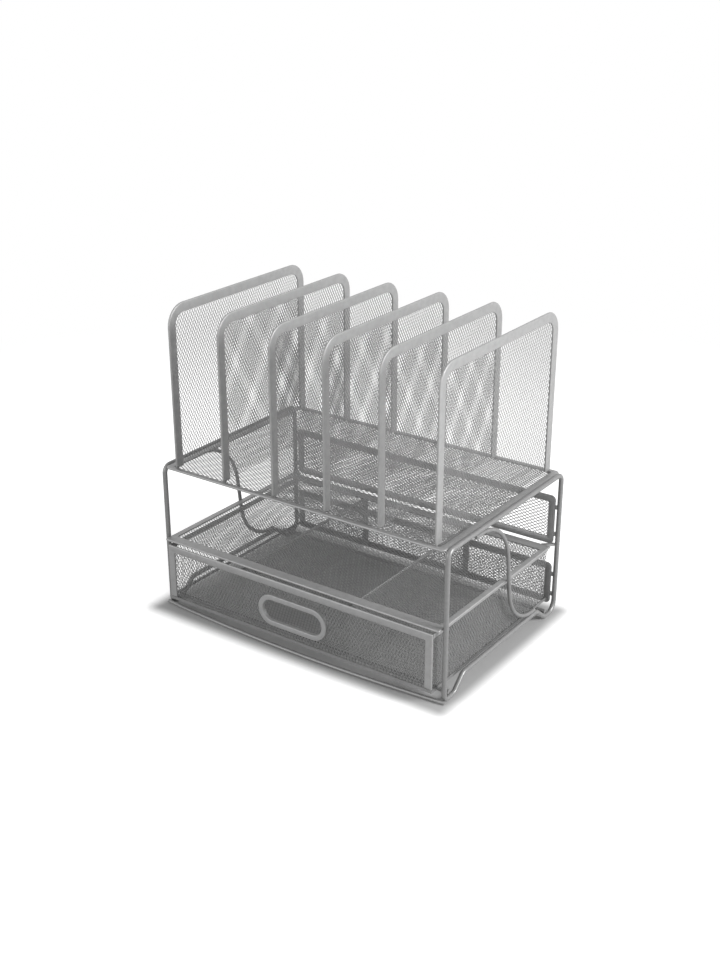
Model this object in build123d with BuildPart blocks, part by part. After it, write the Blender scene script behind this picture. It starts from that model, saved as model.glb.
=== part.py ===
from build123d import *
import os
from math import sqrt

# Desk organiser: two bent-wire side frames carry a mesh shelf with upright
# dividers, a flat mesh tray below it, and a mesh drawer under the tray.
# Millimetres, +Z up, +X to the right. The drawer opens towards -Y.
# Origin: on the floor, midway between the outermost points in X and in Y.

os.makedirs("parts", exist_ok=True)

# Wire stock
frame_wire = 5.0            # diameter of the side frames' wire
rod_wire = 4.0              # diameter of the braces, the base bar and the runners
weld_gap = 0.1              # space at a welded seat

# Side frames, one closed loop each, given by their wire's centreline
frame_spacing = 340.0       # left loop to right loop
post_spacing = 216.0        # front post to rear post
rail_height = 157.0         # top rail above the floor
rail_bend = 8.0             # bends at the top rail's ends
base_rail_height = 17.0     # bottom rail above the floor
front_foot_length = 17.0    # from the front post to the front ramp
front_ramp_run = 16.0       # level length of the ramp up to the bottom rail
front_foot_bend = 5.0       # bend under the front post
rear_foot_length = 20.0     # from the rear post to the rear ramp
rear_ramp_run = 19.0        # level length of the rear ramp
rear_foot_bend = 12.0       # bend under the rear post
ramp_bend = 9.0             # bends at both ends of each ramp

# Side braces: a rod that hangs from the top rail and sweeps back to the bottom rail
brace_top_reach = 106.0     # from the front post to the upper corner
brace_foot_reach = 123.0    # from the front post to the lower corner
brace_top_bend = 54.0       # centreline radius of the upper corner
brace_foot_bend = 50.0      # centreline radius of the lower corner
brace_top_tail = 10.6       # straight length along the top rail, ahead of the bend
brace_foot_tail = 5.1       # straight length along the bottom rail, behind the bend

# Front base bar
bar_bow = 11.3              # its middle stands this far ahead of the front posts

# Flat panels: a mesh sheet with a strip folded over its edge
mesh_thickness = 0.8
strip_thickness = 2.4
groove_depth = 6.0          # how deep the sheet sits in the strip
fold_radius = 1.0           # least corner radius of a strip

# Openings of a mesh sheet: a coarse plain grid in place of the real fine diamonds
net_cell = 24.0             # least size of a cell, each way
net_columns = 8             # most cells in a row
net_open = 0.8              # an opening's share of its cell's width and height
net_margin = 1.5            # sheet left whole beside a strip and along a free edge

# Top shelf
shelf_strip = 10.0
shelf_corner = 5.0

# Upright dividers
divider_count = 6
divider_height = 169.0      # above the shelf
divider_strip = 10.0
divider_corner = 22.0
divider_side_inset = 12.2   # outermost divider in from the shelf's side edge
divider_front_inset = 4.2   # in from the shelf's front edge
divider_rear_inset = 1.5    # in from the shelf's rear edge
tab_width = 3.2             # tongues under each divider foot
tab_thickness = 0.8
tab_edge = 0.4              # tongue in from the divider's edge
tab_fold = 5.0              # length folded under the shelf
tab_clearance = 0.15

# Tray
tray_top = 79.0             # upper face of its strip above the floor
tray_strip = 12.0
tray_front_reach = 8.0      # ahead of the front posts' centreline
tray_rear_gap = 9.0         # short of the rear posts' centreline
tray_corner = 5.0
tray_lug_width = 6.0        # lugs from the tray to the rear posts

# Back panels between the rear posts
back_strip = 7.5
back_corner = 5.0
back_post_gap = 2.1         # between a panel and each rear post
upper_back_base = 77.0      # above the floor
upper_back_height = 54.0
lower_back_base = 8.0
lower_back_height = 47.0
back_lug_height = 4.0       # weld lugs between a panel and its posts
back_lug_inset = 12.0       # lug centre in from a panel's lower and upper edge

# Drawer
runner_height = 10.3        # centreline of the rods that it slides on
drawer_run_gap = 0.3        # under its floor
drawer_side_gap = 5.5       # between each side wall and its side frame
drawer_front_reach = 10.3   # front face ahead of the front posts' centreline
drawer_rear_gap = 4.0       # back face short of the rear posts' centreline
drawer_top_gap = 2.1        # under the tray's strip
drawer_strip = 9.0
drawer_front_corner = 4.0
hem_height = 3.2            # floor edge turned up outside the walls
hem_thickness = 0.6
handle_length = 84.0        # over the ring
handle_height = 34.0
handle_band = 4.8           # width of the ring
handle_stand = 1.6          # ring proud of the strip
handle_level = 41.0         # centre above the floor

# Places that follow from the sizes above
frame_r = frame_wire / 2
rod_r = rod_wire / 2
side_x = frame_spacing / 2
depth = frame_r + post_spacing + bar_bow + rod_r
rear_y = depth / 2 - frame_r
front_y = rear_y - post_spacing
floor_line = frame_r
panel_half = side_x - frame_r - weld_gap
half_strip = strip_thickness / 2

# Side frames
ramp_foot_front = front_y + front_foot_length
ramp_foot_rear = rear_y - rear_foot_length
ramp_top_rear = ramp_foot_rear - rear_ramp_run
loop_points = [
    (front_y, rail_height),
    (rear_y, rail_height),
    (rear_y, floor_line),
    (ramp_foot_rear, floor_line),
    (ramp_top_rear, base_rail_height),
    (ramp_foot_front + front_ramp_run, base_rail_height),
    (ramp_foot_front, floor_line),
    (front_y, floor_line),
]
loop_bends = [
    rail_bend, rail_bend, rear_foot_bend, ramp_bend,
    ramp_bend, ramp_bend, ramp_bend, front_foot_bend,
]

side_frames = {}
for side, x in (("left", -side_x), ("right", side_x)):
    with BuildPart() as side_frame:
        with BuildLine(Plane.YZ.offset(x)) as loop:
            FilletPolyline(*loop_points, radius=loop_bends, close=True)
        with BuildSketch(Plane(origin=loop.line @ 0, z_dir=loop.line % 0)):
            Circle(frame_r)
        sweep()
    side_frame.part.label = f"side_frame_{side}"
    side_frames[side] = side_frame.part
    export_step(side_frame.part, f"parts/side_frame_{side}.step")

# Side braces, laid against the underside of the top rail and the top of the bottom rail
brace_drop = frame_r + rod_r + weld_gap
brace_high = rail_height - brace_drop
brace_low = base_rail_height + brace_drop
brace_run = brace_foot_reach - brace_top_reach
brace_length = sqrt(brace_run**2 + (brace_high - brace_low)**2)
tangent_share = sqrt((brace_length - brace_run) / (brace_length + brace_run))
brace_top_end = brace_top_reach - tangent_share * brace_top_bend - brace_top_tail
brace_foot_end = brace_foot_reach + tangent_share * brace_foot_bend + brace_foot_tail
brace_points = [
    (front_y + brace_top_end, brace_high),
    (front_y + brace_top_reach, brace_high),
    (front_y + brace_foot_reach, brace_low),
    (front_y + brace_foot_end, brace_low),
]
for side, x in (("left", -side_x), ("right", side_x)):
    with BuildPart() as side_brace:
        with BuildLine(Plane.YZ.offset(x)) as route:
            FilletPolyline(*brace_points, radius=[brace_top_bend, brace_foot_bend])
        with BuildSketch(Plane(origin=route.line @ 0, z_dir=route.line % 0)):
            Circle(rod_r)
        sweep()
    side_brace.part.label = f"side_brace_{side}"
    export_step(side_brace.part, f"parts/side_brace_{side}.step")

# Front base bar: bowed forwards, its ends against the bends of the front feet
foot_to_bar = front_foot_bend + frame_r + rod_r + weld_gap
foot_rise = floor_line + front_foot_bend - rod_r
bar_end_y = front_y + front_foot_bend - sqrt(foot_to_bar**2 - foot_rise**2)
bar_end_x = side_x + frame_r
with BuildPart() as front_base_bar:
    with BuildLine(Plane.XY.offset(rod_r)) as route:
        ThreePointArc((-bar_end_x, bar_end_y), (0, front_y - bar_bow), (bar_end_x, bar_end_y))
    with BuildSketch(Plane(origin=route.line @ 0, z_dir=route.line % 0)):
        Circle(rod_r)
    sweep()
front_base_bar.part.label = "front_base_bar"
export_step(front_base_bar.part, "parts/front_base_bar.step")

# Drawer runners: straight rods behind the front posts and on the rear ramps
ramp_rise = base_rail_height - floor_line
ramp_length = sqrt(ramp_rise**2 + rear_ramp_run**2)
ramp_seat = brace_drop * ramp_length + (base_rail_height - runner_height) * rear_ramp_run
runner_rear_y = ramp_top_rear + ramp_seat / ramp_rise
runner_front_y = front_y + brace_drop
for place, y in (("front", runner_front_y), ("rear", runner_rear_y)):
    with BuildPart() as drawer_runner:
        with BuildSketch(Plane.YZ):
            with Locations((y, runner_height)):
                Circle(rod_r)
        extrude(amount=side_x + rod_r, both=True)
    drawer_runner.part.label = f"drawer_runner_{place}"
    export_step(drawer_runner.part, f"parts/drawer_runner_{place}.step")


def mesh_inset(strip):
    """How far a mesh sheet's edge lies in from its strip's outer edge."""
    return max(strip - groove_depth, fold_radius)


def panel_outline(width, height, corner, inset):
    """Rounded outline of a panel, set in from its edge."""
    with BuildSketch() as outline:
        RectangleRounded(width - 2 * inset, height - 2 * inset, max(corner - inset, fold_radius))
    return outline.sketch


def panel_strip(width, height, strip, corner):
    """Border strip of a flat panel, centred on the sketch plane, with its groove."""
    panel = (width, height, corner)
    with BuildPart() as border:
        with BuildSketch():
            add(panel_outline(*panel, 0))
            add(panel_outline(*panel, strip), mode=Mode.SUBTRACT)
        extrude(amount=half_strip, both=True)
        with BuildSketch():
            add(panel_outline(*panel, mesh_inset(strip)))
        extrude(amount=mesh_thickness / 2, both=True, mode=Mode.SUBTRACT)
    return border.part


def net_sheet(outline, width, height, foot):
    """Mesh sheet's outline with a grid of openings over a window that starts at a foot level."""
    columns, rows = [max(1, min(net_columns, int(side / net_cell))) for side in (width, height)]
    cell = (width / columns, height / rows)
    with BuildSketch() as sheet:
        add(outline)
        with Locations((0, foot + height / 2)):
            with GridLocations(*cell, columns, rows):
                Rectangle(*[side * net_open for side in cell], mode=Mode.SUBTRACT)
    return sheet.sketch


def panel_mesh(width, height, strip, corner):
    """Mesh sheet that fills a panel's strip to the bottom of its groove."""
    outline = panel_outline(width, height, corner, mesh_inset(strip))
    rim = 2 * (strip + net_margin)
    with BuildPart() as sheet:
        with BuildSketch():
            add(net_sheet(outline, width - rim, height - rim, (rim - height) / 2))
        extrude(amount=mesh_thickness / 2, both=True)
    return sheet.part


# Dividers' places, needed by the shelf's slots
shelf_front = front_y - frame_r
shelf_rear = rear_y + frame_r
shelf_top = rail_height + half_strip
shelf_base = rail_height - half_strip
divider_front = shelf_front + divider_front_inset
divider_rear = shelf_rear - divider_rear_inset
divider_depth = divider_rear - divider_front
divider_mid = (divider_front + divider_rear) / 2
divider_span = 2 * (panel_half - divider_side_inset)
divider_pitch = divider_span / (divider_count - 1)
divider_places = [n * divider_pitch - divider_span / 2 for n in range(divider_count)]
tab_offset = divider_depth / 2 - tab_edge - tab_width / 2
tab_places = (divider_mid - tab_offset, divider_mid + tab_offset)

# Top shelf, between the top rails
shelf_size = (2 * panel_half, shelf_rear - shelf_front)
shelf_mid = (shelf_front + shelf_rear) / 2
shelf_plane = Plane((0, shelf_mid, rail_height))
slot_points = [(x, y) for x in divider_places for y in tab_places]
with BuildPart() as shelf_border:
    add(shelf_plane * panel_strip(*shelf_size, shelf_strip, shelf_corner))
    with BuildSketch(Plane.XY.offset(shelf_base)):
        with Locations(*slot_points):
            Rectangle(tab_thickness + 2 * tab_clearance, tab_width + 2 * tab_clearance)
    extrude(amount=strip_thickness, mode=Mode.SUBTRACT)
shelf_border.part.label = "shelf_border"
export_step(shelf_border.part, "parts/shelf_border.step")

with BuildPart() as shelf_mesh:
    add(shelf_plane * panel_mesh(*shelf_size, shelf_strip, shelf_corner))
    with BuildSketch(Plane.XY.offset(shelf_base)):
        with Locations(*slot_points):
            Rectangle(tab_thickness + 2 * tab_clearance, tab_width + 2 * tab_clearance)
    extrude(amount=strip_thickness, mode=Mode.SUBTRACT)
shelf_mesh.part.label = "shelf_mesh"
export_step(shelf_mesh.part, "parts/shelf_mesh.step")


def arch(width, height, corner, inset):
    """Outline with rounded upper corners that stands on zero, set in from its edge."""
    with BuildSketch() as outline:
        Rectangle(width - 2 * inset, height - inset, align=(Align.CENTER, Align.MIN))
        fillet(outline.vertices().group_by(Axis.Y)[-1], max(corner - inset, fold_radius))
    return outline.sketch


# Dividers: an arch of folded strip on two feet, with a mesh sheet in it
divider = (divider_depth, divider_height, divider_corner)
divider_sheet = net_sheet(
    arch(*divider, mesh_inset(divider_strip)),
    divider_depth - 2 * (divider_strip + net_margin),
    divider_height - divider_strip - 2 * net_margin,
    net_margin,
)
for number, x in enumerate(divider_places, start=1):
    divider_plane = Plane((x, divider_mid, shelf_top), x_dir=(0, 1, 0), z_dir=(1, 0, 0))
    with BuildPart() as divider_border:
        with BuildSketch(divider_plane):
            add(arch(*divider, 0))
            add(arch(*divider, divider_strip), mode=Mode.SUBTRACT)
        extrude(amount=half_strip, both=True)
        with BuildSketch(divider_plane):
            add(arch(*divider, mesh_inset(divider_strip)))
        extrude(amount=mesh_thickness / 2, both=True, mode=Mode.SUBTRACT)
        with BuildSketch(divider_plane):
            with Locations((-tab_offset, 0), (tab_offset, 0)):
                Rectangle(
                    tab_width,
                    strip_thickness + weld_gap + tab_thickness,
                    align=(Align.CENTER, Align.MAX),
                )
        extrude(amount=tab_thickness / 2, both=True)
        with BuildSketch(Plane.XY.offset(shelf_base - weld_gap)):
            with Locations(*[(x - tab_thickness / 2, y) for y in tab_places]):
                Rectangle(tab_fold, tab_width, align=(Align.MIN, Align.CENTER))
        extrude(amount=-tab_thickness)
    divider_border.part.label = f"divider_border_{number}"
    export_step(divider_border.part, f"parts/divider_border_{number}.step")

    with BuildPart() as divider_mesh:
        with BuildSketch(divider_plane):
            add(divider_sheet)
        extrude(amount=mesh_thickness / 2, both=True)
    divider_mesh.part.label = f"divider_mesh_{number}"
    export_step(divider_mesh.part, f"parts/divider_mesh_{number}.step")

# Tray, between the front posts
tray_front = front_y - tray_front_reach
tray_rear = rear_y - tray_rear_gap
tray_level = tray_top - half_strip
tray_size = (2 * panel_half, tray_rear - tray_front)
tray_plane = Plane((0, (tray_front + tray_rear) / 2, tray_level))
with BuildPart() as tray_border:
    add(tray_plane * panel_strip(*tray_size, tray_strip, tray_corner))
tray_border.part.label = "tray_border"
export_step(tray_border.part, "parts/tray_border.step")

with BuildPart() as tray_mesh:
    add(tray_plane * panel_mesh(*tray_size, tray_strip, tray_corner))
tray_mesh.part.label = "tray_mesh"
export_step(tray_mesh.part, "parts/tray_mesh.step")

# Tray lugs: flat strips that join the tray's rear corners to the rear posts
back_half = side_x - frame_r - back_post_gap
lug_x = panel_half - tray_corner
with BuildPart() as tray_lugs:
    for outward in (-1, 1):
        with BuildSketch(Plane.XY.offset(tray_level)):
            with BuildLine():
                Polyline(
                    (outward * (lug_x - tray_lug_width), tray_rear),
                    (outward * lug_x, tray_rear),
                    (outward * side_x, rear_y),
                    (outward * (back_half + weld_gap), rear_y),
                    close=True,
                )
            make_face()
        extrude(amount=half_strip, both=True)
    add(side_frames["left"], mode=Mode.SUBTRACT)
    add(side_frames["right"], mode=Mode.SUBTRACT)
tray_lugs.part.label = "tray_lugs"
export_step(tray_lugs.part, "parts/tray_lugs.step")

# Back panels, between the rear posts
back_width = 2 * back_half
back_panels = (
    ("upper", upper_back_base, upper_back_height),
    ("lower", lower_back_base, lower_back_height),
)
for level, base, height in back_panels:
    back_plane = Plane((0, rear_y, base + height / 2), x_dir=(1, 0, 0), z_dir=(0, -1, 0))
    with BuildPart() as back_border:
        add(back_plane * panel_strip(back_width, height, back_strip, back_corner))
    back_border.part.label = f"{level}_back_border"
    export_step(back_border.part, f"parts/{level}_back_border.step")

    with BuildPart() as back_mesh:
        add(back_plane * panel_mesh(back_width, height, back_strip, back_corner))
    back_mesh.part.label = f"{level}_back_mesh"
    export_step(back_mesh.part, f"parts/{level}_back_mesh.step")

# Back lugs: short flat pieces welded between the back panels and the rear posts
lug_levels = [
    level
    for _, base, height in back_panels
    for level in (base + back_lug_inset, base + height - back_lug_inset)
]
with BuildPart() as back_lugs:
    for outward in (-1, 1):
        with BuildSketch(Plane.XZ.offset(-rear_y)):
            with Locations(*[(outward * (side_x + back_half) / 2, level) for level in lug_levels]):
                Rectangle(side_x - back_half, back_lug_height)
        extrude(amount=half_strip, both=True)
    add(side_frames["left"], mode=Mode.SUBTRACT)
    add(side_frames["right"], mode=Mode.SUBTRACT)
back_lugs.part.label = "back_lugs"
export_step(back_lugs.part, "parts/back_lugs.step")

# Drawer: a mesh front in a strip, three more mesh walls and a mesh floor
drawer_half = side_x - frame_r - drawer_side_gap
drawer_width = 2 * drawer_half
drawer_top = tray_top - strip_thickness - drawer_top_gap
drawer_base = runner_height + rod_r + drawer_run_gap
wall_base = drawer_base + mesh_thickness
drawer_front = front_y - drawer_front_reach
drawer_rear = rear_y - drawer_rear_gap
front_panel_rear = drawer_front + strip_thickness
wall_height = drawer_top - wall_base
front_plane = Plane((0, drawer_front + half_strip, wall_base), x_dir=(1, 0, 0), z_dir=(0, -1, 0))
handle_place = (0, handle_level - wall_base)
ring_inner = (handle_length - 2 * handle_band, handle_height - 2 * handle_band)
front_face = (drawer_width, wall_height, drawer_front_corner)
with BuildPart() as drawer_front_border:
    with BuildSketch(front_plane):
        add(arch(*front_face, 0))
        add(arch(*front_face, drawer_strip), mode=Mode.SUBTRACT)
    extrude(amount=half_strip, both=True)
    with BuildSketch(front_plane):
        add(arch(*front_face, mesh_inset(drawer_strip)))
    extrude(amount=mesh_thickness / 2, both=True, mode=Mode.SUBTRACT)
drawer_front_border.part.label = "drawer_front_border"
export_step(drawer_front_border.part, "parts/drawer_front_border.step")

# The handle is a slot in the front's mesh with a folded ring round its edge
slot_seat = handle_band / 2
front_net = net_sheet(
    arch(*front_face, mesh_inset(drawer_strip)),
    drawer_width - 2 * (drawer_strip + net_margin),
    wall_height - drawer_strip - 2 * net_margin,
    net_margin,
)
with BuildPart() as drawer_front_mesh:
    with BuildSketch(front_plane):
        add(front_net)
        with Locations(handle_place):
            SlotOverall(handle_length, handle_height)
            SlotOverall(
                handle_length - 2 * slot_seat,
                handle_height - 2 * slot_seat,
                mode=Mode.SUBTRACT,
            )
    extrude(amount=mesh_thickness / 2, both=True)
drawer_front_mesh.part.label = "drawer_front_mesh"
export_step(drawer_front_mesh.part, "parts/drawer_front_mesh.step")

with BuildPart() as drawer_handle:
    with BuildSketch(front_plane):
        with Locations(handle_place):
            SlotOverall(handle_length, handle_height)
            SlotOverall(*ring_inner, mode=Mode.SUBTRACT)
    extrude(amount=half_strip, both=True)
    with BuildSketch(front_plane.offset(half_strip)):
        with Locations(handle_place):
            SlotOverall(handle_length, handle_height)
            SlotOverall(*ring_inner, mode=Mode.SUBTRACT)
    extrude(amount=handle_stand)
    with BuildSketch(front_plane):
        with Locations(handle_place):
            SlotOverall(handle_length, handle_height)
            SlotOverall(
                handle_length - 2 * slot_seat,
                handle_height - 2 * slot_seat,
                mode=Mode.SUBTRACT,
            )
    extrude(amount=mesh_thickness / 2, both=True, mode=Mode.SUBTRACT)
drawer_handle.part.label = "drawer_handle"
export_step(drawer_handle.part, "parts/drawer_handle.step")

# Side and back walls; each has a strip folded over its upper edge
wall_x = drawer_half - half_strip
wall_depth = drawer_rear - front_panel_rear
wall_mid = (drawer_rear + front_panel_rear) / 2
back_wall_y = drawer_rear - half_strip
rim_groove = drawer_strip - mesh_inset(drawer_strip)
walls = (
    ("side_left", Plane((-wall_x, wall_mid, wall_base), x_dir=(0, -1, 0), z_dir=(-1, 0, 0)), wall_depth),
    ("side_right", Plane((wall_x, wall_mid, wall_base), x_dir=(0, 1, 0), z_dir=(1, 0, 0)), wall_depth),
    (
        "back",
        Plane((0, back_wall_y, wall_base), x_dir=(-1, 0, 0), z_dir=(0, 1, 0)),
        drawer_width - 2 * strip_thickness,
    ),
)
for place, wall_plane, length in walls:
    with BuildPart() as drawer_rim:
        with BuildSketch(wall_plane):
            with Locations((0, wall_height)):
                Rectangle(length, drawer_strip, align=(Align.CENTER, Align.MAX))
        extrude(amount=half_strip, both=True)
        with BuildSketch(wall_plane):
            with Locations((0, wall_height - drawer_strip)):
                Rectangle(length, rim_groove, align=(Align.CENTER, Align.MIN))
        extrude(amount=mesh_thickness / 2, both=True, mode=Mode.SUBTRACT)
    drawer_rim.part.label = f"drawer_{place}_rim"
    export_step(drawer_rim.part, f"parts/drawer_{place}_rim.step")

    with BuildSketch() as wall_outline:
        Rectangle(length, wall_height - mesh_inset(drawer_strip), align=(Align.CENTER, Align.MIN))
    wall_window = (length - 2 * net_margin, wall_height - drawer_strip - 2 * net_margin)
    with BuildPart() as drawer_wall:
        with BuildSketch(wall_plane):
            add(net_sheet(wall_outline.sketch, *wall_window, net_margin))
        extrude(amount=mesh_thickness / 2, both=True)
    drawer_wall.part.label = f"drawer_{place}_mesh"
    export_step(drawer_wall.part, f"parts/drawer_{place}_mesh.step")

# Floor: a mesh sheet under all four walls, held by a narrow hem round its edge
floor_size = (drawer_width, drawer_rear - drawer_front)
floor_mid = (drawer_rear + drawer_front) / 2
with BuildSketch() as floor_outline:
    Rectangle(*floor_size)
floor_window = [size - 2 * net_margin for size in floor_size]
with BuildPart() as drawer_floor_mesh:
    with BuildSketch(Plane((0, floor_mid, drawer_base))):
        add(net_sheet(floor_outline.sketch, *floor_window, -floor_window[1] / 2))
    extrude(amount=mesh_thickness)
drawer_floor_mesh.part.label = "drawer_floor_mesh"
export_step(drawer_floor_mesh.part, "parts/drawer_floor_mesh.step")

with BuildPart() as drawer_hem:
    with BuildSketch(Plane((0, floor_mid, drawer_base))):
        Rectangle(*[size + 2 * hem_thickness for size in floor_size])
        Rectangle(*floor_size, mode=Mode.SUBTRACT)
    extrude(amount=hem_height)
drawer_hem.part.label = "drawer_hem"
export_step(drawer_hem.part, "parts/drawer_hem.step")
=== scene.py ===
from math import atan2, cos, hypot, pi, radians, sin

import bmesh
import bpy
from mathutils import Matrix, Vector


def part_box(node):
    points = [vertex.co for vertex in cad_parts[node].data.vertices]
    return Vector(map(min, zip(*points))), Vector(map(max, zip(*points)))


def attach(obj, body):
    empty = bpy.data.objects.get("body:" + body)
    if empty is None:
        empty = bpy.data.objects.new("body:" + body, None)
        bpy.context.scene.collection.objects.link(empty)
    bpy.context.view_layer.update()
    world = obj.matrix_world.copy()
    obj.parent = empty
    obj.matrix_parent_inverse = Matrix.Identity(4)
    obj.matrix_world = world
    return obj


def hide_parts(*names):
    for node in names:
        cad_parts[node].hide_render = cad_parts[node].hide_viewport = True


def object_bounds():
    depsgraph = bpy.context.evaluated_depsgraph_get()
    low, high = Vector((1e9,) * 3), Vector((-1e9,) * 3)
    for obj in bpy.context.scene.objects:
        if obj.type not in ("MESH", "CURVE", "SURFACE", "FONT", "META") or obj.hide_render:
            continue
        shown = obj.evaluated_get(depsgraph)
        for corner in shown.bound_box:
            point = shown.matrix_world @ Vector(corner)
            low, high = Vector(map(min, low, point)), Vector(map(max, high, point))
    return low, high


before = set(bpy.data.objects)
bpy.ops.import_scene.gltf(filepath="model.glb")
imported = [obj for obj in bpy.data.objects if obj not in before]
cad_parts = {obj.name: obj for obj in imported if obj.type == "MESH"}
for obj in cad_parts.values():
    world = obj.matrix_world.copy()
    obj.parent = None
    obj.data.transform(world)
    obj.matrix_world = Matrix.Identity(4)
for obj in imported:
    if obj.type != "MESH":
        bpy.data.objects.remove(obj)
cad_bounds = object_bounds()

# --- Camera -------------------------------------------------------------------
# The sorter is seen from the front right and from above, as on a product page.
# Angles, distance and focal length were fitted to the wire frame's own corners.
view_azimuth = radians(35.247)
view_elevation = radians(23.408)
view_distance = 1.3776
view_target = Vector((-0.0018, 0.0048, 0.1457))
frame_pixels = 960
focal_pixels = 1354.94

camera_data = bpy.data.cameras.new("camera")
camera_data.sensor_fit = "VERTICAL"
camera_data.sensor_height = 36.0
camera_data.lens = focal_pixels / frame_pixels * camera_data.sensor_height
camera_data.dof.use_dof = False
camera = bpy.data.objects.new("camera", camera_data)
bpy.context.scene.collection.objects.link(camera)
to_camera = Vector((
    sin(view_azimuth) * cos(view_elevation),
    -cos(view_azimuth) * cos(view_elevation),
    sin(view_elevation),
))
camera.location = view_target + view_distance * to_camera
camera.rotation_euler = to_camera.to_track_quat("Z", "Y").to_euler()
bpy.context.scene.camera = camera
bpy.context.scene.view_settings.view_transform = "Standard"

# --- Side frames, braces, base bar and runners ----------------------------------
# Drawn low-carbon steel wire: 5 mm for the two closed side loops, 4 mm for the S-shaped
# braces, the bowed front bar and the two drawer runners. Each is bent cold, butt- or
# spot-welded where it meets the next, and then coated with the rest of the sorter.
MM = 0.001


def linear(hex_code):
    """A colour as Blender wants it, from its sRGB hex code."""
    values = [int(hex_code[i:i + 2], 16) / 255 for i in (1, 3, 5)]
    return [v / 12.92 if v <= 0.04045 else ((v + 0.055) / 1.055) ** 2.4 for v in values] + [1.0]


def add_node(tree, kind, settings=None, **inputs):
    """One node with its settings; an input is a value or the socket that feeds it."""
    node = tree.nodes.new(kind)
    for key, value in (settings or {}).items():
        setattr(node, key, value)
    for key, value in inputs.items():
        name = key.replace("_", " ")
        socket = node.inputs[int(key[1:])] if key[1:].isdigit() else node.inputs[name]
        if isinstance(value, bpy.types.NodeSocket):
            tree.links.new(value, socket)
        else:
            socket.default_value = value
    return node


def coated_steel(name, dark, light, roughness, grain_mm, mottle_mm):
    """Silver powder coat baked on steel: fine bright flake in a grey binder, a slight
    orange-peel skin from the melt, and a soft satin sheen."""
    material = bpy.data.materials.new(name)
    material.use_nodes = True
    tree = material.node_tree
    tree.nodes.clear()
    place = add_node(tree, "ShaderNodeTexCoord").outputs["Object"]
    flake = add_node(
        tree, "ShaderNodeTexNoise",
        Vector=place, Scale=1 / (grain_mm * MM), Detail=3.0, Roughness=0.6,
    ).outputs["Fac"]
    mottle = add_node(
        tree, "ShaderNodeTexNoise",
        Vector=place, Scale=1 / (mottle_mm * MM), Detail=2.0, Roughness=0.5,
    ).outputs["Fac"]
    blend = add_node(tree, "ShaderNodeMix", {"data_type": "FLOAT"}, i0=0.35, i2=flake, i3=mottle)
    shade = add_node(
        tree, "ShaderNodeMapRange",
        Value=blend.outputs[0], From_Min=0.32, From_Max=0.68,
    ).outputs["Result"]
    colour = add_node(
        tree, "ShaderNodeMix", {"data_type": "RGBA"},
        i0=shade, i6=linear(dark), i7=linear(light),
    ).outputs[2]
    gloss = add_node(
        tree, "ShaderNodeMapRange",
        Value=flake, From_Min=0.3, From_Max=0.7, To_Min=roughness + 0.06, To_Max=roughness - 0.06,
    ).outputs["Result"]
    skin = add_node(
        tree, "ShaderNodeBump",
        Strength=0.18, Distance=0.05 * MM, Height=mottle,
    ).outputs["Normal"]
    surface = add_node(
        tree, "ShaderNodeBsdfPrincipled",
        Base_Color=colour, Metallic=0.35, Roughness=gloss, Normal=skin,
    ).outputs["BSDF"]
    add_node(tree, "ShaderNodeOutputMaterial", Surface=surface)
    return material


# Painted shade: the wires carry the same silver coat as the strips, set darker here.
shaded_silver_on_wire = coated_steel("silver_powder_coat_on_wire_painted_darker", "#7e7e7e", "#949494", 0.38, 0.35, 4.0)

frame_wire = 5.0 * MM
rod_wire = 4.0 * MM
wire_sides = 20
bend_steps = 10


def new_tree(name, sockets):
    """An empty Geometry Nodes tree with a geometry input and output and named inputs."""
    tree = bpy.data.node_groups.new(name, "GeometryNodeTree")
    tree.interface.new_socket(name="Geometry", in_out="INPUT", socket_type="NodeSocketGeometry")
    for label, kind in sockets:
        tree.interface.new_socket(name=label, in_out="INPUT", socket_type=f"NodeSocket{kind}")
    tree.interface.new_socket(name="Geometry", in_out="OUTPUT", socket_type="NodeSocketGeometry")
    return tree


def run_tree(name, tree, base, inputs, body):
    """Runs a tree on a mesh, keeps the result as a plain mesh piece and puts it on its body."""
    carrier = bpy.data.objects.new(f"{name}_base", base)
    bpy.context.scene.collection.objects.link(carrier)
    modifier = carrier.modifiers.new("tree", "NODES")
    modifier.node_group = tree
    for item in tree.interface.items_tree:
        if item.in_out == "INPUT" and item.name in inputs:
            modifier[item.identifier] = inputs[item.name]
    bpy.context.view_layer.update()
    graph = bpy.context.evaluated_depsgraph_get()
    mesh = bpy.data.meshes.new_from_object(carrier.evaluated_get(graph))
    bpy.data.objects.remove(carrier)
    mesh.name = name
    return add_piece(name, mesh, body)


def add_piece(name, mesh, body):
    """Links a finished mesh as a piece that rides on a body."""
    piece = bpy.data.objects.new(name, mesh)
    bpy.context.scene.collection.objects.link(piece)
    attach(piece, body)
    return piece


bend_tree = new_tree("bent_wire", [
    ("Diameter", "Float"), ("Sides", "Int"), ("Bend Steps", "Int"), ("Coat", "Material"),
])
wire_in = add_node(bend_tree, "NodeGroupInput").outputs
bend_radius = add_node(
    bend_tree, "GeometryNodeInputNamedAttribute", {"data_type": "FLOAT"}, Name="bend",
).outputs["Attribute"]
wire_line = add_node(bend_tree, "GeometryNodeMeshToCurve", Mesh=wire_in["Geometry"]).outputs["Curve"]
wire_bent = add_node(
    bend_tree, "GeometryNodeFilletCurve", {"mode": "POLY"},
    Curve=wire_line, Count=wire_in["Bend Steps"], Radius=bend_radius, Limit_Radius=False,
).outputs["Curve"]
wire_radius = add_node(
    bend_tree, "ShaderNodeMath", {"operation": "DIVIDE"}, i0=wire_in["Diameter"], i1=2.0,
).outputs[0]
wire_ring = add_node(
    bend_tree, "GeometryNodeCurvePrimitiveCircle", {"mode": "RADIUS"},
    Resolution=wire_in["Sides"], Radius=wire_radius,
).outputs["Curve"]
wire_skin = add_node(
    bend_tree, "GeometryNodeCurveToMesh",
    Curve=wire_bent, Profile_Curve=wire_ring, Fill_Caps=True,
).outputs["Mesh"]
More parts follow.
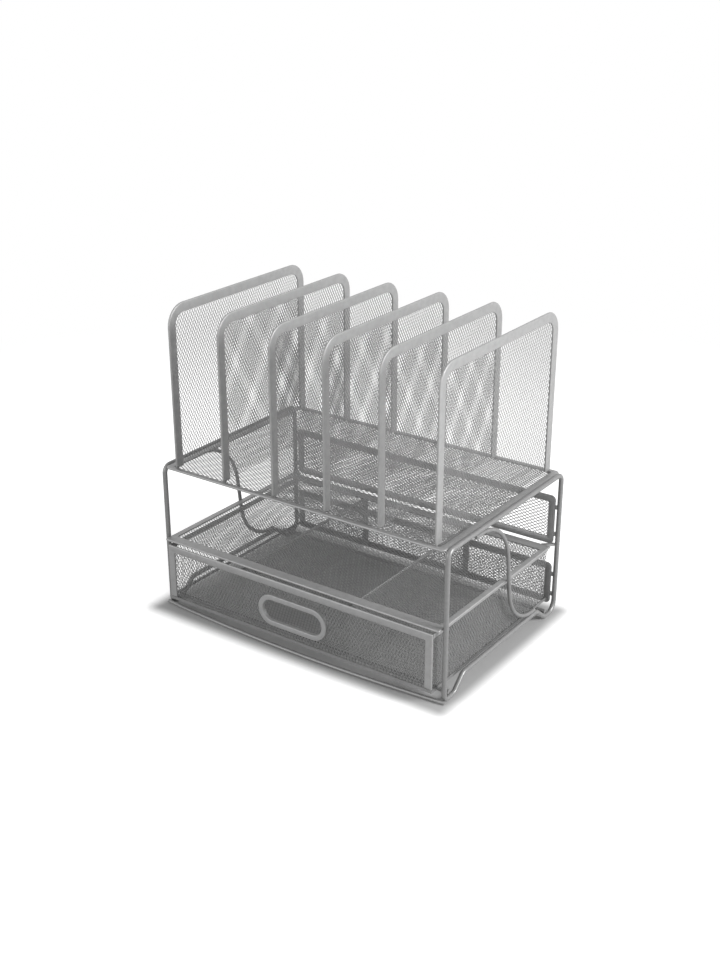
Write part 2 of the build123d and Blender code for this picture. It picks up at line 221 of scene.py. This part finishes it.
wire_whole = add_node(bend_tree, "GeometryNodeRealizeInstances", Geometry=wire_skin).outputs["Geometry"]
wire_coated = add_node(
    bend_tree, "GeometryNodeSetMaterial", Geometry=wire_whole, Material=wire_in["Coat"],
).outputs["Geometry"]
add_node(bend_tree, "NodeGroupOutput", Geometry=wire_coated)

smooth_angle = radians(40)


def bent_wire(name, points, bends, closed, diameter, node):
    """A wire along straight runs joined by round bends, in place of its CAD node."""
    count = len(points)
    edges = [(i, (i + 1) % count) for i in range(count if closed else count - 1)]
    line = bpy.data.meshes.new(f"{name}_line")
    line.from_pydata(points, edges, [])
    line.attributes.new("bend", "FLOAT", "POINT").data.foreach_set("value", bends)
    sizes = {
        "Diameter": diameter, "Sides": wire_sides, "Bend Steps": bend_steps, "Coat": shaded_silver_on_wire,
    }
    piece = run_tree(name, bend_tree, line, sizes, "frame")
    finish_shell(piece.data)
    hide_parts(node)


def finish_shell(mesh):
    """Turns every face outwards and keeps the edges of ends and folds crisp."""
    shell = bmesh.new()
    shell.from_mesh(mesh)
    bmesh.ops.recalc_face_normals(shell, faces=shell.faces)
    for face in shell.faces:
        face.smooth = True
    shell.to_mesh(mesh)
    shell.free()
    mesh.set_sharp_from_angle(angle=smooth_angle)


loop_low, loop_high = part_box("side_frame_right")
front_y = loop_low.y + frame_wire / 2
rear_y = loop_high.y - frame_wire / 2
rail_z = loop_high.z - frame_wire / 2
floor_z = frame_wire / 2
base_rail_z = 17.0 * MM
front_foot = 17.0 * MM
front_ramp = 16.0 * MM
rear_foot = 20.0 * MM
rear_ramp = 19.0 * MM
loop_outline = [
    (front_y, rail_z, 8.0 * MM),
    (rear_y, rail_z, 8.0 * MM),
    (rear_y, floor_z, 12.0 * MM),
    (rear_y - rear_foot, floor_z, 9.0 * MM),
    (rear_y - rear_foot - rear_ramp, base_rail_z, 9.0 * MM),
    (front_y + front_foot + front_ramp, base_rail_z, 9.0 * MM),
    (front_y + front_foot, floor_z, 9.0 * MM),
    (front_y, floor_z, 5.0 * MM),
]
brace_top_reach = 106.0 * MM
brace_foot_reach = 123.0 * MM
brace_top_bend = 54.0 * MM
brace_foot_bend = 50.0 * MM
for side in ("left", "right"):
    low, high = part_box(f"side_frame_{side}")
    side_x = (low.x + high.x) / 2
    bent_wire(
        f"side_frame_wire_{side}",
        [(side_x, y, z) for y, z, _ in loop_outline],
        [bend for _, _, bend in loop_outline],
        True, frame_wire, f"side_frame_{side}",
    )
    low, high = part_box(f"side_brace_{side}")
    top_z = high.z - rod_wire / 2
    foot_z = low.z + rod_wire / 2
    bent_wire(
        f"side_brace_rod_{side}",
        [
            (side_x, low.y, top_z),
            (side_x, front_y + brace_top_reach, top_z),
            (side_x, front_y + brace_foot_reach, foot_z),
            (side_x, high.y, foot_z),
        ],
        [0, brace_top_bend, brace_foot_bend, 0],
        False, rod_wire, f"side_brace_{side}",
    )

for place in ("front", "rear"):
    low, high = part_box(f"drawer_runner_{place}")
    mid_y = (low.y + high.y) / 2
    mid_z = (low.z + high.z) / 2
    bent_wire(
        f"runner_rod_{place}", [(low.x, mid_y, mid_z), (high.x, mid_y, mid_z)], [0, 0],
        False, rod_wire, f"drawer_runner_{place}",
    )

bar_low, bar_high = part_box("front_base_bar")
bar_front = bar_low.y + rod_wire / 2
bar_back = bar_high.y - rod_wire / 2
bar_bow = bar_back - bar_front
bar_half = bar_high.x - rod_wire * bar_bow / bar_high.x
bar_radius = (bar_half**2 + bar_bow**2) / (2 * bar_bow)
bar_turn = atan2(bar_half, bar_radius - bar_bow)
bar_steps = 24
bar_angles = [bar_turn * (2 * n / bar_steps - 1) for n in range(bar_steps + 1)]
bent_wire(
    "front_base_rod",
    [(bar_radius * sin(a), bar_front + bar_radius * (1 - cos(a)), rod_wire / 2) for a in bar_angles],
    [0] * len(bar_angles),
    False, rod_wire, "front_base_bar",
)

# --- Folded strips ----------------------------------------------------------------
# Mild-steel strip folded in two over the raw edge of a mesh panel and pressed flat, so its
# outer edge is a tight half round and its inner edges lie on the mesh. The ends are
# spot-welded and the strip is coated with its panel.
silver_on_strip = coated_steel("silver_powder_coat_on_strip", "#949494", "#aaaaaa", 0.42, 0.4, 6.0)
strip_thickness = 2.4 * MM
pinch = 0.35 * MM          # each leg closes by this much towards the mesh
edge_break = 0.25 * MM
fold_steps = 8
corner_steps = 8
least_corner = 1.0 * MM


def fold_section(width, thickness=strip_thickness):
    """Cross-section of a folded strip as (distance in from the outer edge, height) pairs."""
    half = thickness / 2
    fold = [
        (half - half * sin(pi * n / fold_steps), half * cos(pi * n / fold_steps))
        for n in range(fold_steps + 1)
    ]
    leg = half - pinch
    return fold + [
        (width - edge_break, -leg),
        (width, -leg + edge_break),
        (width, leg - edge_break),
        (width - edge_break, leg),
    ]


def corner_arc(centre, radius, start):
    """Points of a quarter turn anticlockwise from an angle in degrees."""
    return [
        (
            centre[0] + radius * cos(radians(start + 90 * n / corner_steps)),
            centre[1] + radius * sin(radians(start + 90 * n / corner_steps)),
        )
        for n in range(corner_steps + 1)
    ]


def panel_outline(width, height, corner, inset, side_share=1.0):
    """A closed rounded rectangle about the origin, set in from its edge, by a share of it at the sides."""
    radius = max(corner - inset, least_corner)
    x = width / 2 - side_share * inset - radius
    y = height / 2 - inset - radius
    return (
        corner_arc((x, y), radius, 0) + corner_arc((-x, y), radius, 90)
        + corner_arc((-x, -y), radius, 180) + corner_arc((x, -y), radius, 270)
    )


def arch_outline(width, height, corner, inset):
    """An arch on two feet with its foot line at zero, set in from its edge."""
    radius = max(corner - inset, least_corner)
    x = width / 2 - inset - radius
    y = height - inset - radius
    return (
        [(x + radius, 0)] + corner_arc((x, y), radius, 0)
        + corner_arc((-x, y), radius, 90) + [(-x - radius, 0)]
    )


def sweep_section(outline, section, closed):
    """Vertices and faces of a section carried round an outline; outline(inset) gives each line."""
    lines = [[(x, y, z) for x, y in outline(inset)] for inset, z in section]
    count = len(lines[0])
    around = len(lines)
    points = [p for line in lines for p in line]
    faces = [
        (
            ring * count + step,
            ring * count + (step + 1) % count,
            (ring + 1) % around * count + (step + 1) % count,
            (ring + 1) % around * count + step,
        )
        for ring in range(around)
        for step in range(count if closed else count - 1)
    ]
    if not closed:
        faces.append(tuple(ring * count for ring in range(around)))
        faces.append(tuple(ring * count + count - 1 for ring in reversed(range(around))))
    return points, faces


def box_faces(low, high):
    """Vertices and faces of a small flat-sided tab."""
    points = [(x, y, z) for x in (low[0], high[0]) for y in (low[1], high[1]) for z in (low[2], high[2])]
    faces = [(0, 1, 3, 2), (4, 6, 7, 5), (0, 4, 5, 1), (2, 3, 7, 6), (0, 2, 6, 4), (1, 5, 7, 3)]
    return points, faces


def shell_piece(name, shells, matrix, body, nodes):
    """Joins shells drawn in a panel's own plane, places them and replaces their CAD nodes."""
    points, faces = [], []
    for shell_points, shell_faces in shells:
        start = len(points)
        points += shell_points
        faces += [tuple(start + i for i in face) for face in shell_faces]
    mesh = bpy.data.meshes.new(name)
    mesh.from_pydata(points, [], faces)
    mesh.transform(matrix)
    finish_shell(mesh)
    mesh.materials.append(silver_on_strip)
    piece = add_piece(name, mesh, body)
    if nodes:
        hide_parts(*nodes)


def plane_at(origin, x_axis, y_axis):
    """Matrix from a panel's own plane to its place on the sorter."""
    x_axis, y_axis = Vector(x_axis), Vector(y_axis)
    matrix = Matrix((x_axis, y_axis, x_axis.cross(y_axis))).transposed().to_4x4()
    matrix.translation = Vector(origin)
    return matrix


# --- Expanded mesh --------------------------------------------------------------
# Sheet steel slit and drawn out into diamonds about 6.3 mm long and 3.6 mm wide, the photograph's
# own spacing. The strands keep the twist that the drawing gives them, so one edge stands
# a little proud. It is cut to the panel and held in the strips' folds, then coated.
silver_on_mesh = coated_steel("silver_powder_coat_on_mesh", "#7c7c7c", "#949494", 0.45, 0.5, 12.0)
short_way = 3.6 * MM
long_way = 6.3 * MM
strand = 0.50 * MM
fine_strand = 0.42 * MM    # on the dividers
bold_strand = 0.66 * MM    # on the shelf and the back panels
sheet_gauge = 0.22 * MM
strand_rise = 0.08 * MM
weld_distance = 0.02 * MM  # strands this close at a bond are one
groove_depth = 6.0 * MM    # how far a sheet's edge runs into a divider's strip


def knot_mesh(name, width):
    """A bond of the mesh with the two strands that leave it upwards, ready to repeat."""
    slope = hypot(short_way, long_way)
    side = width * slope / 2 / long_way
    tip = width * slope / 2 / short_way
    right, top, left, bottom = (side, 0, strand_rise), (0, tip, 0), (-side, 0, -strand_rise), (0, -tip, 0)
    far_right = (short_way / 2, long_way / 2)
    far_left = (-short_way / 2, long_way / 2)
    corners = [right, top, left, bottom] + [
        (far[0] + x, far[1] + y, z)
        for far, ends in ((far_right, (left, bottom)), (far_left, (right, bottom)))
        for x, y, z in ends
    ]
    layer = len(corners)
    points = [
        (x, y, z + level)
        for level in (sheet_gauge / 2, -sheet_gauge / 2)
        for x, y, z in corners
    ]
    plates = [(0, 1, 2, 3), (0, 5, 4, 1), (1, 6, 7, 2)]
    walls = [(1, 4), (5, 0), (6, 1), (2, 7)]
    faces = plates + [tuple(layer + i for i in reversed(plate)) for plate in plates]
    faces += [(a, b, layer + b, layer + a) for a, b in walls]
    mesh = bpy.data.meshes.new(name)
    mesh.from_pydata(points, [], faces)
    return bpy.data.objects.new(name, mesh)


mesh_knot = knot_mesh("mesh_knot", strand)
fine_knot = knot_mesh("fine_knot", fine_strand)
bold_knot = knot_mesh("bold_knot", bold_strand)

sheet_tree = new_tree("expanded_sheet", [
    ("Knot", "Object"), ("Width", "Float"), ("Height", "Float"), ("Short Way", "Float"),
    ("Long Way", "Float"), ("Head Corner", "Float"), ("Foot Corner", "Float"),
    ("Slot Length", "Float"), ("Slot Height", "Float"), ("Slot Level", "Float"), ("Coat", "Material"),
])
sheet_in = add_node(sheet_tree, "NodeGroupInput").outputs


def maths(operation, first, second=0.0):
    """A sum, product or comparison of two fields in the sheet's tree."""
    return add_node(sheet_tree, "ShaderNodeMath", {"operation": operation}, i0=first, i1=second).outputs[0]


half_long = maths("DIVIDE", sheet_in["Long Way"], 2.0)
columns = maths("ADD", maths("CEIL", maths("DIVIDE", sheet_in["Width"], sheet_in["Short Way"])), 3.0)
rows = maths("ADD", maths("CEIL", maths("DIVIDE", sheet_in["Height"], half_long)), 3.0)
lattice = add_node(
    sheet_tree, "GeometryNodeMeshGrid",
    Size_X=maths("MULTIPLY", maths("SUBTRACT", columns, 1.0), sheet_in["Short Way"]),
    Size_Y=maths("MULTIPLY", maths("SUBTRACT", rows, 1.0), half_long),
    Vertices_X=columns, Vertices_Y=rows,
).outputs["Mesh"]
place = add_node(
    sheet_tree, "ShaderNodeSeparateXYZ",
    Vector=add_node(sheet_tree, "GeometryNodeInputPosition").outputs["Position"],
).outputs
row_number = maths("ROUND", maths("ADD", maths("DIVIDE", place["Y"], half_long), maths("DIVIDE", rows, 2.0)))
odd_row = maths("FLOORED_MODULO", row_number, 2.0)
stagger = maths("MULTIPLY", odd_row, maths("DIVIDE", sheet_in["Short Way"], 2.0))
staggered = add_node(
    sheet_tree, "GeometryNodeSetPosition", Geometry=lattice,
    Offset=add_node(sheet_tree, "ShaderNodeCombineXYZ", X=stagger).outputs["Vector"],
).outputs["Geometry"]
knot_shape = add_node(
    sheet_tree, "GeometryNodeObjectInfo", {"transform_space": "ORIGINAL"}, Object=sheet_in["Knot"],
).outputs["Geometry"]
knots = add_node(
    sheet_tree, "GeometryNodeInstanceOnPoints", Points=staggered, Instance=knot_shape,
).outputs["Instances"]
drawn = add_node(sheet_tree, "GeometryNodeRealizeInstances", Geometry=knots).outputs["Geometry"]
welded = add_node(
    sheet_tree, "GeometryNodeMergeByDistance", Geometry=drawn, Distance=weld_distance,
).outputs["Geometry"]

half_width = maths("DIVIDE", sheet_in["Width"], 2.0)
half_height = maths("DIVIDE", sheet_in["Height"], 2.0)
in_head = maths("GREATER_THAN", place["Y"], 0.0)
corner = add_node(
    sheet_tree, "ShaderNodeMix", {"data_type": "FLOAT"},
    i0=in_head, i2=sheet_in["Foot Corner"], i3=sheet_in["Head Corner"],
).outputs[0]
past_x = maths("SUBTRACT", maths("ABSOLUTE", place["X"]), maths("SUBTRACT", half_width, corner))
past_y = maths("SUBTRACT", maths("ABSOLUTE", place["Y"]), maths("SUBTRACT", half_height, corner))
past_corner = maths("SQRT", maths(
    "ADD",
    maths("POWER", maths("MAXIMUM", past_x, 0.0), 2.0),
    maths("POWER", maths("MAXIMUM", past_y, 0.0), 2.0),
))
past_side = maths("MINIMUM", maths("MAXIMUM", past_x, past_y), 0.0)
past_edge = maths("SUBTRACT", maths("ADD", past_corner, past_side), corner)
slot_radius = maths("DIVIDE", sheet_in["Slot Height"], 2.0)
slot_reach = maths("SUBTRACT", maths("DIVIDE", sheet_in["Slot Length"], 2.0), slot_radius)
off_slot_x = maths("MAXIMUM", maths("SUBTRACT", maths("ABSOLUTE", place["X"]), slot_reach), 0.0)
off_slot_y = maths("SUBTRACT", place["Y"], sheet_in["Slot Level"])
off_slot = maths("SQRT", maths("ADD", maths("POWER", off_slot_x, 2.0), maths("POWER", off_slot_y, 2.0)))
in_slot = maths("LESS_THAN", off_slot, slot_radius)
outside = maths("GREATER_THAN", past_edge, 0.0)
trimmed = add_node(
    sheet_tree, "GeometryNodeDeleteGeometry", {"domain": "FACE", "mode": "ALL"},
    Geometry=welded, Selection=maths("MAXIMUM", outside, in_slot),
).outputs["Geometry"]
clamped_x = maths("MINIMUM", maths("MAXIMUM", place["X"], maths("MULTIPLY", half_width, -1.0)), half_width)
clamped_y = maths("MINIMUM", maths("MAXIMUM", place["Y"], maths("MULTIPLY", half_height, -1.0)), half_height)
squared = add_node(
    sheet_tree, "GeometryNodeSetPosition", Geometry=trimmed,
    Position=add_node(
        sheet_tree, "ShaderNodeCombineXYZ", X=clamped_x, Y=clamped_y, Z=place["Z"],
    ).outputs["Vector"],
).outputs["Geometry"]
sheet_coated = add_node(
    sheet_tree, "GeometryNodeSetMaterial", Geometry=squared, Material=sheet_in["Coat"],
).outputs["Geometry"]
add_node(sheet_tree, "NodeGroupOutput", Geometry=sheet_coated)


def expanded_sheet(
    name, width, height, matrix, body, node, head=0.0, foot=0.0, slot=(0.0, 0.0, 0.0), knot=mesh_knot,
):
    """A panel of expanded mesh with its long way upright in the panel's own plane."""
    sizes = {
        "Knot": knot, "Width": width, "Height": height, "Short Way": short_way,
        "Long Way": long_way, "Head Corner": head, "Foot Corner": foot,
        "Slot Length": slot[0], "Slot Height": slot[1], "Slot Level": slot[2], "Coat": silver_on_mesh,
    }
    blank = bpy.data.meshes.new(f"{name}_blank")
    piece = run_tree(name, sheet_tree, blank, sizes, body)
    piece.data.transform(matrix)
    if node:
        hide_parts(node)


# --- Top shelf --------------------------------------------------------------------
# A mesh sheet in a folded steel strip, 5.5 mm wide in front and 8 mm at the sides, welded
# between the two top rails. It carries the dividers.
shelf_strip = 5.5 * MM
shelf_corner = 5.0 * MM
shelf_side_share = 1.45
fold_grip = 1.0 * MM       # the least that a sheet's edge runs into a fold
flat = ((1, 0, 0), (0, 1, 0))


def middle(node):
    """Centre and size of a CAD node."""
    low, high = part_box(node)
    return (low + high) / 2, high - low


def flat_panel(name, strip, corner, axes, side_share=1.0, knot=mesh_knot):
    """A border of folded strip and its mesh sheet, with the diamonds' long way along X."""
    centre, size = middle(f"{name}_border")
    x_axis, y_axis = Vector(axes[0]), Vector(axes[1])
    width, height = abs(size.dot(x_axis)), abs(size.dot(y_axis))
    matrix = plane_at(centre, x_axis, y_axis)
    outline = lambda inset: panel_outline(width, height, corner, inset, side_share)
    shell_piece(
        f"{name}_strip", [sweep_section(outline, fold_section(strip), True)],
        matrix, "frame", [f"{name}_border"],
    )
    sheet_size = middle(f"{name}_mesh")[1]
    sheet_width = max(abs(sheet_size.dot(x_axis)), width - 2 * (side_share * strip - fold_grip))
    sheet_height = max(abs(sheet_size.dot(y_axis)), height - 2 * (strip - fold_grip))
    expanded_sheet(
        f"{name}_diamonds", sheet_height, sheet_width, plane_at(centre, y_axis, -x_axis),
        "frame", f"{name}_mesh", least_corner, least_corner, knot=knot,
    )


flat_panel("shelf", shelf_strip, shelf_corner, flat, shelf_side_share, bold_knot)

# --- Dividers ----------------------------------------------------------------------
# Six arches of folded strip round a mesh sheet. Each foot has a tongue that goes through a
# slot in the shelf's strip and is folded flat underneath.
divider_count = 6
divider_strip = 10.0 * MM
divider_corner = 22.0 * MM
tab_width = 3.2 * MM
tab_edge = 0.4 * MM
tab_gauge = 0.8 * MM
tab_fold = 5.0 * MM
tab_root = 0.5 * MM        # how far a tongue runs up into the strip
for number in range(1, divider_count + 1):
    node = f"divider_border_{number}"
    low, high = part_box(node)
    sheet_centre, sheet_size = middle(f"divider_mesh_{number}")
    shelf_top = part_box("shelf_border")[1].z
    depth = high.y - low.y
    height = high.z - shelf_top
    mid_y = (low.y + high.y) / 2
    matrix = plane_at((sheet_centre.x, mid_y, shelf_top), (0, 1, 0), (0, 0, 1))
    outline = lambda inset: arch_outline(depth, height, divider_corner, inset)
    shells = [sweep_section(outline, fold_section(divider_strip), False)]
    drop = low.z - shelf_top
    for outward in (-1, 1):
        near = outward * (depth / 2 - tab_edge - tab_width)
        far = outward * (depth / 2 - tab_edge)
        left, right = min(near, far), max(near, far)
        tongue_start = (left, drop, -tab_gauge / 2)
        fold_end = (right, drop + tab_gauge, tab_fold - tab_gauge / 2)
        shells.append(box_faces(tongue_start, (right, tab_root, tab_gauge / 2)))
        shells.append(box_faces(tongue_start, fold_end))
    shell_piece(f"divider_strip_{number}", shells, matrix, "frame", [node])
    sheet_matrix = plane_at(sheet_centre, (0, 1, 0), (0, 0, 1))
    expanded_sheet(
        f"divider_diamonds_{number}", sheet_size.y, sheet_size.z, sheet_matrix, "frame",
        f"divider_mesh_{number}", divider_corner - divider_strip + groove_depth, knot=fine_knot,
    )

# --- Tray ---------------------------------------------------------------------------
# A flat mesh tray in a folded strip, 12 mm wide in front and 6 mm at the sides, welded
# between the front posts. Two flat lugs reach from its rear corners to the rear posts.
tray_strip = 12.0 * MM
tray_corner = 1.5 * MM
tray_side_share = 0.5
flat_panel("tray", tray_strip, tray_corner, flat, tray_side_share)

# --- Back panels ----------------------------------------------------------------------
# Two mesh panels in 7.5 mm folded strip close the back of the tray space and of the drawer
# space. Short lugs weld them to the rear posts. Their diamonds lie on their sides.
back_strip = 7.5 * MM
back_corner = 5.0 * MM
upright = ((1, 0, 0), (0, 0, 1))
for level in ("upper", "lower"):
    flat_panel(f"{level}_back", back_strip, back_corner, upright, knot=bold_knot)
for node in ("tray_lugs", "back_lugs"):
    for material_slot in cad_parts[node].material_slots:
        material_slot.material = silver_on_strip

# --- Drawer -----------------------------------------------------------------------------
# A mesh box that slides on the two runner rods. Its front is a mesh panel in a strip on three
# sides with a slot for the fingers, bound by a folded ring that stands proud.
drawer_strip = 8.0 * MM
drawer_corner = 1.5 * MM
face_centre, face_size = middle("drawer_front_border")
wall_base = face_centre.z - face_size.z / 2
face_matrix = plane_at((face_centre.x, face_centre.y, wall_base), (1, 0, 0), (0, 0, 1))
outline = lambda inset: arch_outline(face_size.x, face_size.z, drawer_corner, inset)
shell_piece(
    "drawer_front_strip", [sweep_section(outline, fold_section(drawer_strip), False)],
    face_matrix, "drawer", ["drawer_front_border"],
)
ring_centre, ring_size = middle("drawer_handle")
ring_band = 5.6 * MM
slot_corner = ring_size.z / 2
sheet_centre, sheet_size = middle("drawer_front_mesh")
sheet_matrix = plane_at(sheet_centre, (1, 0, 0), (0, 0, 1))
expanded_sheet(
    "drawer_front_diamonds", sheet_size.x, sheet_size.z, sheet_matrix, "drawer", "drawer_front_mesh",
    least_corner, 0.0,
    (ring_size.x - ring_band, ring_size.z - ring_band, ring_centre.z - sheet_centre.z),
)


def ring_outline(inset):
    """The slot ring's line, set in from its outer edge: two half rounds and two straight runs."""
    return panel_outline(ring_size.x, ring_size.z, slot_corner, inset)


ring_matrix = plane_at(ring_centre, (1, 0, 0), (0, 0, 1))
ring_half = ring_size.y / 2
ring_round = 0.8 * MM
ring_steps = 4
ring_quarter = [
    (ring_round * sin(pi / 2 * n / ring_steps), ring_round * cos(pi / 2 * n / ring_steps))
    for n in range(ring_steps + 1)
]
ring_section = (
    [(ring_round - y, ring_half - ring_round + x) for x, y in ring_quarter]
    + [(ring_band - ring_round + x, ring_half - ring_round + y) for x, y in ring_quarter]
    + [(ring_band, -ring_half), (0.0, -ring_half)]
)
shell_piece(
    "drawer_handle_ring", [sweep_section(ring_outline, ring_section, True)],
    ring_matrix, "drawer", ["drawer_handle"],
)

rim_strip = 5.5 * MM
walls = (
    ("side_left", (0, -1, 0)),
    ("side_right", (0, 1, 0)),
    ("back", (-1, 0, 0)),
)
for place_name, along in walls:
    rim_centre, rim_size = middle(f"drawer_{place_name}_rim")
    length = abs(rim_size.dot(Vector(along)))
    rim_matrix = plane_at((rim_centre.x, rim_centre.y, rim_centre.z + rim_size.z / 2), along, (0, 0, 1))
    outline = lambda inset: [(-length / 2, -inset), (length / 2, -inset)]
    shell_piece(
        f"drawer_{place_name}_strip", [sweep_section(outline, fold_section(rim_strip), False)],
        rim_matrix, "drawer", [f"drawer_{place_name}_rim"],
    )
    wall_centre, wall_size = middle(f"drawer_{place_name}_mesh")
    expanded_sheet(
        f"drawer_{place_name}_diamonds", abs(wall_size.dot(Vector(along))), wall_size.z,
        plane_at(wall_centre, along, (0, 0, 1)), "drawer", f"drawer_{place_name}_mesh",
    )

floor_centre, floor_size = middle("drawer_floor_mesh")
expanded_sheet(
    "drawer_floor_diamonds", floor_size.x, floor_size.y, plane_at(floor_centre, *flat),
    "drawer", "drawer_floor_mesh",
)
for material_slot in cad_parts["drawer_hem"].material_slots:
    material_slot.material = silver_on_mesh

# --- Drawer partitions ------------------------------------------------------------------
# Two upright sheets of the same mesh split the drawer into three from front to back. Each
# has its upper edge folded over and a flat flange at the rear, spot-welded to the back rim.
partition_offset = 66.0 * MM
partition_drop = 1.5 * MM
partition_front_gap = 0.5 * MM
partition_rear_gap = 0.1 * MM
partition_fold = 3.0 * MM
partition_gauge = 2.0 * MM
flange_width = 7.0 * MM
flange_gauge = 0.8 * MM
partition_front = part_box("drawer_side_left_mesh")[0].y + partition_front_gap
partition_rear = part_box("drawer_back_rim")[0].y - partition_rear_gap
partition_base = floor_centre.z + floor_size.z / 2
partition_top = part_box("drawer_back_rim")[1].z - partition_drop
partition_length = partition_rear - partition_front
partition_height = partition_top - partition_base
partition_y = (partition_front + partition_rear) / 2
partition_z = (partition_base + partition_top) / 2
for side, partition_x in (("left", -partition_offset), ("right", partition_offset)):
    expanded_sheet(
        f"partition_diamonds_{side}", partition_length, partition_height,
        plane_at((partition_x, partition_y, partition_z), (0, 1, 0), (0, 0, 1)), "drawer", None,
    )
    outline = lambda inset: [(-partition_length / 2, -inset), (partition_length / 2, -inset)]
    fold = sweep_section(outline, fold_section(partition_fold, partition_gauge), False)
    flange = box_faces(
        (partition_length / 2 - flange_gauge, -partition_height, -flange_width / 2),
        (partition_length / 2, -partition_fold / 2, flange_width / 2),
    )
    shell_piece(
        f"partition_strip_{side}", [fold, flange],
        plane_at((partition_x, partition_y, partition_top), (0, 1, 0), (0, 0, 1)), "drawer", [],
    )

# --- Studio -------------------------------------------------------------------------------
# A pale floor under a white dome, with one broad soft lamp from the right and a weaker one
# from the front left. The paper is painted darker under the sorter, a painted shade.
floor_half = 3.0
fade_start = 0.55
fade_end = 1.1
# painted light: a glow on the paper rises from nothing at the sorter's edge to its most a little way out
painted_ramp_start = 0.0           # the paper is lit up in the picture from the sorter's edge outwards
painted_ramp_end = 0.02
painted_glow_most = 0.55
# painted shade: the paper's colour, as the camera sees it, under the sorter's footprint
painted_under_shade = 0.5
open_shade = 0.9
floor_mesh = bpy.data.meshes.new("studio_floor")
floor_mesh.from_pydata(
    [(-floor_half, -floor_half, 0), (floor_half, -floor_half, 0),
     (floor_half, floor_half, 0), (-floor_half, floor_half, 0)],
    [], [(0, 1, 2, 3)],
)
floor = bpy.data.objects.new("studio_floor", floor_mesh)
bpy.context.scene.collection.objects.link(floor)
paper = bpy.data.materials.new("white_paper_sweep")
paper.use_nodes = True
tree = paper.node_tree
tree.nodes.clear()
spot = add_node(tree, "ShaderNodeTexCoord").outputs["Object"]
reach = add_node(tree, "ShaderNodeVectorMath", {"operation": "LENGTH"}, i0=spot).outputs["Value"]
fade = add_node(
    tree, "ShaderNodeMapRange", {"interpolation_type": "SMOOTHSTEP"},
    Value=reach, From_Min=fade_start, From_Max=fade_end,
).outputs["Result"]
rays = add_node(tree, "ShaderNodeLightPath").outputs
lit = add_node(tree, "ShaderNodeBsdfDiffuse", Color=(0.82, 0.82, 0.82, 1)).outputs["BSDF"]
sides = add_node(
    tree, "ShaderNodeVectorMath", {"operation": "SUBTRACT"},
    i0=add_node(tree, "ShaderNodeVectorMath", {"operation": "ABSOLUTE"}, i0=spot).outputs["Vector"],
    i1=(cad_bounds[1][0], cad_bounds[1][1], 0.0),
).outputs["Vector"]
outside = add_node(
    tree, "ShaderNodeVectorMath", {"operation": "MAXIMUM"}, i0=sides, i1=(0.0, 0.0, 0.0),
).outputs["Vector"]
clear = add_node(tree, "ShaderNodeVectorMath", {"operation": "LENGTH"}, i0=outside).outputs["Value"]
# Painted light: for the camera a glow is added to the paper, none under the sorter and rising over the first
# 20 mm outside it, so the paper round the sorter turns white while under it stays dark.
painted_glow_strength = add_node(
    tree, "ShaderNodeMapRange", {"interpolation_type": "SMOOTHSTEP"},
    Value=clear, From_Min=painted_ramp_start, From_Max=painted_ramp_end, To_Max=painted_glow_most,
).outputs["Result"]
painted_floor_glow = add_node(
    tree, "ShaderNodeEmission", Color=(1, 1, 1, 1), Strength=painted_glow_strength,
).outputs["Emission"]
# Painted shade: as the camera sees it, the paper's colour is darker under the sorter's footprint.
painted_shade_on_paper = add_node(
    tree, "ShaderNodeMapRange",
    Value=clear, From_Min=painted_ramp_start, From_Max=painted_ramp_end, To_Min=painted_under_shade, To_Max=open_shade,
).outputs["Result"]
shade_painted_paper = add_node(tree, "ShaderNodeBsdfDiffuse", Color=painted_shade_on_paper).outputs["BSDF"]
seen = add_node(tree, "ShaderNodeAddShader", i0=shade_painted_paper, i1=painted_floor_glow).outputs["Shader"]
glow = add_node(tree, "ShaderNodeEmission", Color=(1, 1, 1, 1), Strength=1.0).outputs["Emission"]
faded = add_node(tree, "ShaderNodeMixShader", i0=fade, i1=seen, i2=glow).outputs["Shader"]
shown = add_node(tree, "ShaderNodeMixShader", i0=rays["Is Camera Ray"], i1=lit, i2=faded).outputs["Shader"]
add_node(tree, "ShaderNodeOutputMaterial", Surface=shown)
floor_mesh.materials.append(paper)

dome_strength = 0.45
world = bpy.data.worlds.new("white_dome")
world.use_nodes = True
tree = world.node_tree
tree.nodes.clear()
rays = add_node(tree, "ShaderNodeLightPath").outputs
mirror = add_node(
    tree, "ShaderNodeMath", {"operation": "MAXIMUM"}, i0=rays["Is Camera Ray"], i1=rays["Is Glossy Ray"],
).outputs[0]
direct = add_node(
    tree, "ShaderNodeMath", {"operation": "MAXIMUM"}, i0=mirror, i1=rays["Is Transmission Ray"],
).outputs[0]
dome = add_node(tree, "ShaderNodeBackground", Color=(1, 1, 1, 1), Strength=dome_strength).outputs[0]
white = add_node(tree, "ShaderNodeBackground", Color=(1, 1, 1, 1), Strength=1.0).outputs[0]
sky = add_node(tree, "ShaderNodeMixShader", i0=direct, i1=dome, i2=white).outputs["Shader"]
add_node(tree, "ShaderNodeOutputWorld", Surface=sky)
bpy.context.scene.world = world


def soft_lamp(name, position, aim, size, power):
    """A square softbox that faces a point."""
    data = bpy.data.lights.new(name, "AREA")
    data.shape = "SQUARE"
    data.size = size
    data.energy = power
    lamp = bpy.data.objects.new(name, data)
    bpy.context.scene.collection.objects.link(lamp)
    lamp.location = position
    lamp.rotation_euler = (Vector(position) - Vector(aim)).to_track_quat("Z", "Y").to_euler()


soft_lamp("key_softbox", (2.3, 0.45, 1.1), (0.0, 0.0, 0.15), 1.0, 62.0)
soft_lamp("front_fill", (-1.3, -2.4, 1.2), (0.0, 0.0, 0.1), 1.6, 26.0)

bpy.data.objects.remove(mesh_knot)
bpy.data.objects.remove(fine_knot)
bpy.data.objects.remove(bold_knot)
